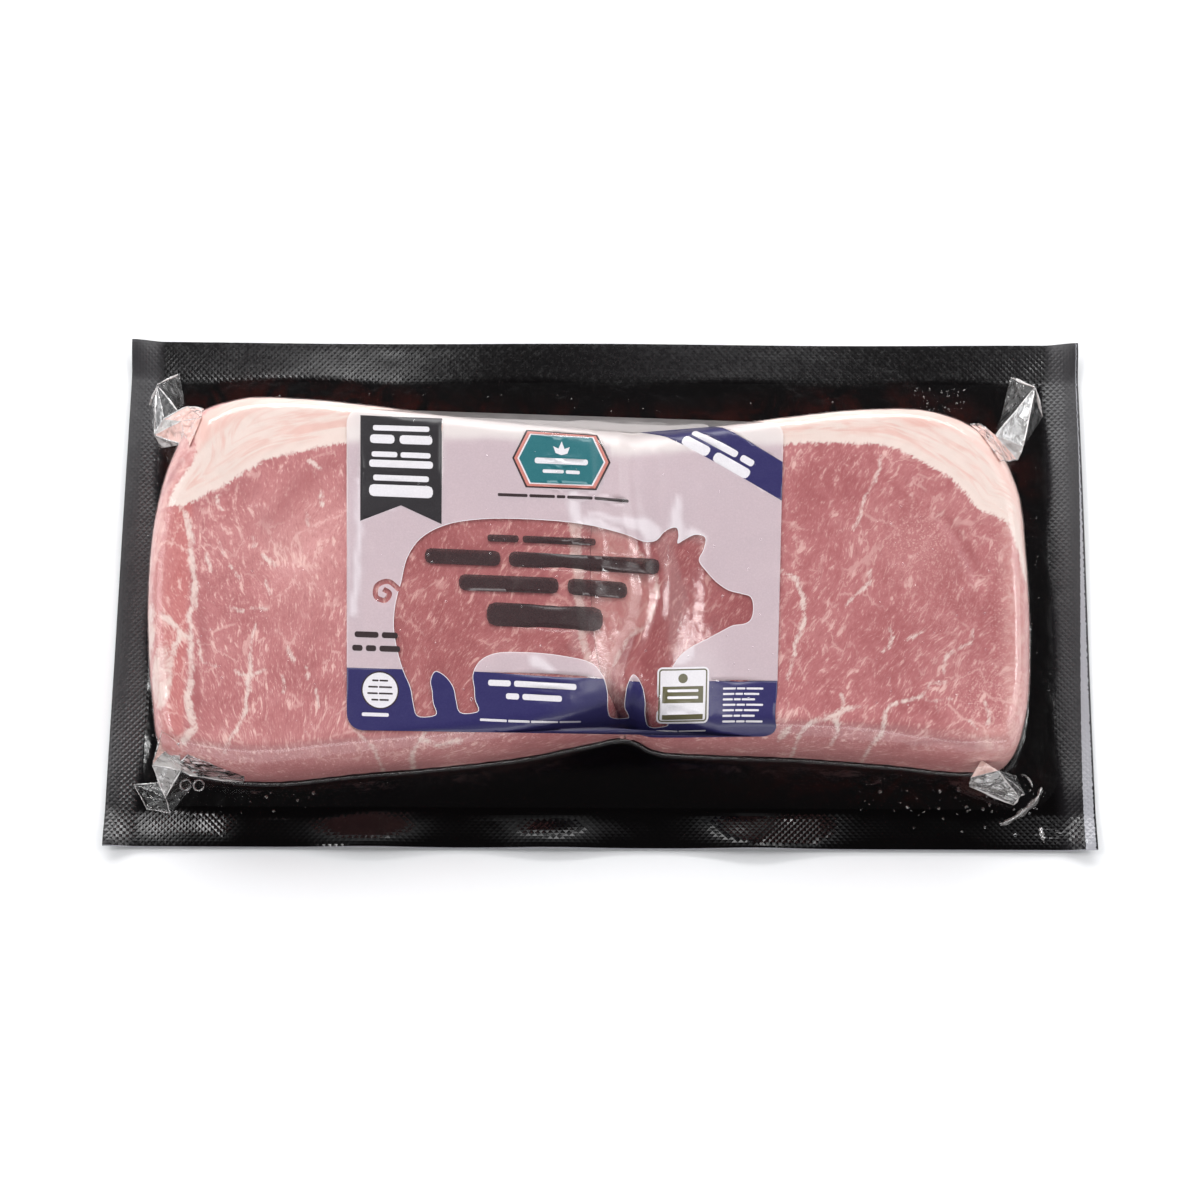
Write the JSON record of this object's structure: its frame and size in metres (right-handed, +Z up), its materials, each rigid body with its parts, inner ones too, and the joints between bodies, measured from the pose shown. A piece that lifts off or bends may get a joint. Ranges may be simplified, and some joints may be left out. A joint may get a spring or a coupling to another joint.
{
  "type": "meat tray pack",
  "caption": "Flat vacuum pack of thick boneless pork chops: black backing film, clear film drawn tight over the meat, and a printed label with a clear window.",
  "frame": {"origin": "on the surface the pack lies on, under the middle of the backing film", "axes": "+X along the pack, +Y to the long edge where the fat caps are, +Z up out of the labelled face"},
  "size_m": [0.248, 0.133, 0.0271],
  "materials": {
    "black_film": "glossy black plastic film with a fine knurled heat-seal band along its edges",
    "raw_pork": "raw pork lean and fat seen through tight clear film",
    "clear_film": "thin glossy clear film",
    "label_film": "satin printed film label, pale lavender with navy, charcoal and clear fields"
  },
  "bodies": {
    "root": {"backing_web": "black_film", "sealed_pocket": "raw_pork", "front_label": "label_film"}
  },
  "joints": []
}
